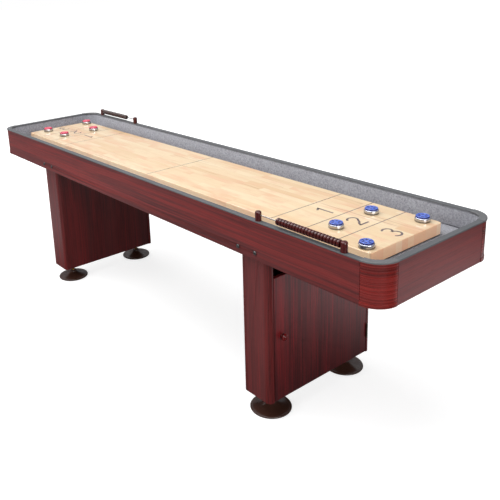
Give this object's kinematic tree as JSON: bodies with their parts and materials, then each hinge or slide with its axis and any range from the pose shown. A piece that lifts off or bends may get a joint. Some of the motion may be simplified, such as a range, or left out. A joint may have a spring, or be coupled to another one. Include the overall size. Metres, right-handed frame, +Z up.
{
  "type": "shuffleboard table",
  "caption": "Long table with a raised glossy maple playfield in a carpeted gutter, cherry aprons, two door-fronted pedestals on levelers, abacus scorers and sliding pucks.",
  "frame": {"origin": "on the floor under the middle of the table", "axes": "+X along the table, +Y across it, +Z up; the table is the same after half a turn about Z, apart from its pucks"},
  "size_m": [2.743, 0.625, 0.8405],
  "materials": {
    "apron_laminate": "satin cherry laminate, grain along the table",
    "corner_laminate": "satin cherry laminate",
    "pedestal_laminate": "satin cherry laminate, upright grain",
    "post_laminate": "satin cherry laminate, upright grain",
    "door_laminate": "satin cherry laminate, upright grain",
    "turned_cherry": "gloss lacquer",
    "cabinet_board": "matt board",
    "spacer_strip": "sawn",
    "playfield_maple": "butcher block under a thick gloss coat",
    "rail_grey": "satin T-moulding",
    "cap_grey": "satin",
    "gutter_carpet": "short looped pile",
    "hinge_steel": "satin",
    "leveler_black": "gloss black-brown enamel",
    "stud_zinc": "yellow zinc plate",
    "wire_steel": "polished",
    "bolt_grey": "zinc plate",
    "puck_steel": "polished",
    "puck_blue": "moulded",
    "puck_red": "moulded"
  },
  "bodies": {
    "table": {"side_apron_near": "apron_laminate", "side_apron_far": "apron_laminate", "end_apron_right": "apron_laminate", "end_apron_left": "apron_laminate", "corner_apron_right_far": "corner_laminate", "corner_apron_left_far": "corner_laminate", "corner_apron_left_near": "corner_laminate", "corner_apron_right_near": "corner_laminate", "side_rail_near": "rail_grey", "side_rail_far": "rail_grey", "end_rail_right": "rail_grey", "end_rail_left": "rail_grey", "corner_caps": "cap_grey", "cabinet_floor": "cabinet_board", "carpet_floor": "gutter_carpet", "carpet_wall": "gutter_carpet", "playfield": "playfield_maple", "playfield_spacers": "spacer_strip", "pedestal_right_side_near": "pedestal_laminate", "pedestal_right_side_far": "pedestal_laminate", "pedestal_right_inner_panel": "pedestal_laminate", "pedestal_right_bottom": "cabinet_board", "pedestal_left_side_near": "pedestal_laminate", "pedestal_left_side_far": "pedestal_laminate", "pedestal_left_inner_panel": "pedestal_laminate", "pedestal_left_bottom": "cabinet_board", "corner_posts": "post_laminate", "hinge_frame_leaves_and_pins": "hinge_steel", "leveler_studs": "stud_zinc", "scorer_posts": "turned_cherry", "scorer_wires": "wire_steel", "apron_bolts": "bolt_grey"},
    "door_right_assembly": {"door_right": "door_laminate", "knob_right": "turned_cherry", "hinge_door_leaves_right": "hinge_steel"},
    "door_left_assembly": {"door_left": "door_laminate", "knob_left": "turned_cherry", "hinge_door_leaves_left": "hinge_steel"},
    "leveler_right_far": {"foot_right_far": "leveler_black"},
    "leveler_left_far": {"foot_left_far": "leveler_black"},
    "leveler_left_near": {"foot_left_near": "leveler_black"},
    "leveler_right_near": {"foot_right_near": "leveler_black"},
    "bead_row_near": {"beads_near": "turned_cherry"},
    "bead_row_far": {"beads_far": "turned_cherry"},
    "puck_blue_1": {"puck_blue_1_steel": "puck_steel", "puck_blue_1_cap": "puck_blue"},
    "puck_blue_2": {"puck_blue_2_steel": "puck_steel", "puck_blue_2_cap": "puck_blue"},
    "puck_blue_3": {"puck_blue_3_steel": "puck_steel", "puck_blue_3_cap": "puck_blue"},
    "puck_blue_4": {"puck_blue_4_steel": "puck_steel", "puck_blue_4_cap": "puck_blue"},
    "puck_red_1": {"puck_red_1_steel": "puck_steel", "puck_red_1_cap": "puck_red"},
    "puck_red_2": {"puck_red_2_steel": "puck_steel", "puck_red_2_cap": "puck_red"},
    "puck_red_3": {"puck_red_3_steel": "puck_steel", "puck_red_3_cap": "puck_red"},
    "puck_red_4": {"puck_red_4_steel": "puck_steel", "puck_red_4_cap": "puck_red"}
  },
  "joints": [
    {"name": "door_right_swing", "type": "hinge", "parent": "table", "child": "door_right_assembly", "pos_m": [0.8853, 0.2644, 0], "axis": [0, 0, 1], "range_deg": [0, 110]},
    {"name": "door_left_swing", "type": "hinge", "parent": "table", "child": "door_left_assembly", "pos_m": [-0.8853, -0.2644, 0], "axis": [0, 0, 1], "range_deg": [0, 110]},
    {"name": "leveler_right_far_height", "type": "slide", "parent": "table", "child": "leveler_right_far", "axis": [0, 0, 1], "range_m": [-0.018, 0]},
    {"name": "leveler_left_far_height", "type": "slide", "parent": "table", "child": "leveler_left_far", "axis": [0, 0, 1], "range_m": [-0.018, 0]},
    {"name": "leveler_left_near_height", "type": "slide", "parent": "table", "child": "leveler_left_near", "axis": [0, 0, 1], "range_m": [-0.018, 0]},
    {"name": "leveler_right_near_height", "type": "slide", "parent": "table", "child": "leveler_right_near", "axis": [0, 0, 1], "range_m": [-0.018, 0]},
    {"name": "beads_near_slide", "type": "slide", "parent": "table", "child": "bead_row_near", "axis": [-1, 0, 0], "range_m": [0, 0.077]},
    {"name": "beads_far_slide", "type": "slide", "parent": "table", "child": "bead_row_far", "axis": [1, 0, 0], "range_m": [0, 0.077]},
    {"name": "puck_blue_1_slide", "type": "slide", "parent": "table", "child": "puck_blue_1", "axis": [-1, 0, 0], "range_m": [0, 1.122]},
    {"name": "puck_blue_2_slide", "type": "slide", "parent": "table", "child": "puck_blue_2", "axis": [-1, 0, 0], "range_m": [0, 1.116]},
    {"name": "puck_blue_3_slide", "type": "slide", "parent": "table", "child": "puck_blue_3", "axis": [-1, 0, 0], "range_m": [0, 2.409]},
    {"name": "puck_blue_4_slide", "type": "slide", "parent": "table", "child": "puck_blue_4", "axis": [-1, 0, 0], "range_m": [0, 1.287]},
    {"name": "puck_red_1_slide", "type": "slide", "parent": "table", "child": "puck_red_1", "axis": [1, 0, 0], "range_m": [0, 0.124]},
    {"name": "puck_red_2_slide", "type": "slide", "parent": "table", "child": "puck_red_2", "axis": [1, 0, 0], "range_m": [0, 0.738]},
    {"name": "puck_red_3_slide", "type": "slide", "parent": "table", "child": "puck_red_3", "axis": [1, 0, 0], "range_m": [0, 0.933]},
    {"name": "puck_red_4_slide", "type": "slide", "parent": "table", "child": "puck_red_4", "axis": [1, 0, 0], "range_m": [0, 0.731]}
  ]
}
